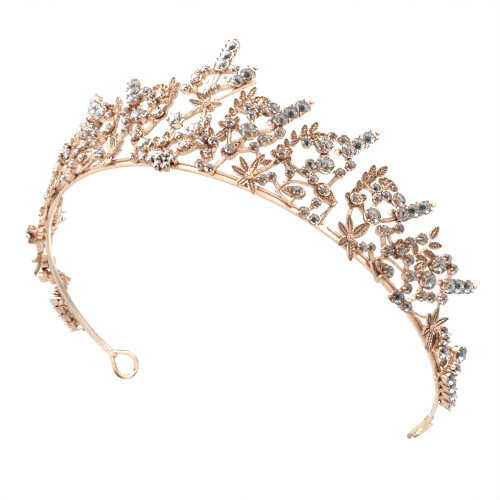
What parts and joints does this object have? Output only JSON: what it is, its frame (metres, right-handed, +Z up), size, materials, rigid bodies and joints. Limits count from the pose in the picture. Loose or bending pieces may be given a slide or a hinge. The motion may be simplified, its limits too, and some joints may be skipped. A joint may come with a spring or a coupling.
{
  "type": "tiara",
  "caption": "Rose-gold bridal tiara: a wire band with an eye at each end carries cast openwork panels of flowers, leaves and clear cut stones.",
  "frame": {"origin": "centre of the tiara's bounding box seen from above, on the level plane its lowest points touch", "axes": "+Z up with the band level, the front centre of the tiara towards -Y, +X to the wearer's left (the viewer's right)"},
  "size_m": [0.1578, 0.1222, 0.0535],
  "materials": {
    "rose_gold": "bright rose-gold plating, polished",
    "crystal": "clear cut and foiled crystal"
  },
  "bodies": {
    "root": {"band_wire": "rose_gold", "centre_left_flower_stone": "crystal", "centre_left_large_stone": "crystal", "centre_panel": "rose_gold", "centre_pear_stone": "crystal", "centre_right_large_stone": "crystal", "centre_side_spire_stones": "crystal", "centre_spire_stones": "crystal", "end_large_stone_left": "crystal", "end_large_stone_right": "crystal", "end_panel_left": "rose_gold", "end_panel_right": "rose_gold", "end_row_stones_left": "crystal", "end_row_stones_right": "crystal", "inner_base_pear_stone_left": "crystal", "inner_base_pear_stone_right": "crystal", "inner_double_flower_stone_left": "crystal", "inner_double_flower_stone_right": "crystal", "inner_double_lower_large_stone_left": "crystal", "inner_double_lower_large_stone_right": "crystal", "inner_double_pear_stone_left": "crystal", "inner_double_pear_stone_right": "crystal", "inner_double_spire_stones_left": "crystal", "inner_double_spire_stones_right": "crystal", "inner_double_upper_large_stone_left": "crystal", "inner_double_upper_large_stone_right": "crystal", "inner_foot_arch_stone_left": "crystal", "inner_foot_arch_stone_right": "crystal", "inner_panel_left": "rose_gold", "inner_panel_right": "rose_gold", "inner_trefoil_flower_stone_left": "crystal", "inner_trefoil_flower_stone_right": "crystal", "inner_trefoil_large_stone_left": "crystal", "inner_trefoil_large_stone_right": "crystal", "inner_trefoil_pear_stone_left": "crystal", "inner_trefoil_pear_stone_right": "crystal", "inner_trefoil_spire_stones_left": "crystal", "inner_trefoil_spire_stones_right": "crystal", "outer_foot_arch_stone_left": "crystal", "outer_foot_arch_stone_right": "crystal", "outer_panel_left": "rose_gold", "outer_panel_right": "rose_gold", "outer_side_flower_stone_left": "crystal", "outer_side_flower_stone_right": "crystal", "outer_side_lower_large_stone_left": "crystal", "outer_side_lower_large_stone_right": "crystal", "outer_side_pear_stone_left": "crystal", "outer_side_pear_stone_right": "crystal", "outer_side_spire_stones_left": "crystal", "outer_side_spire_stones_right": "crystal", "outer_side_upper_large_stone_left": "crystal", "outer_side_upper_large_stone_right": "crystal", "outer_trefoil_flower_stone_left": "crystal", "outer_trefoil_flower_stone_right": "crystal", "outer_trefoil_large_stone_left": "crystal", "outer_trefoil_large_stone_right": "crystal", "outer_trefoil_pear_stone_left": "crystal", "outer_trefoil_pear_stone_right": "crystal", "outer_trefoil_spire_stones_left": "crystal", "outer_trefoil_spire_stones_right": "crystal"}
  },
  "joints": []
}
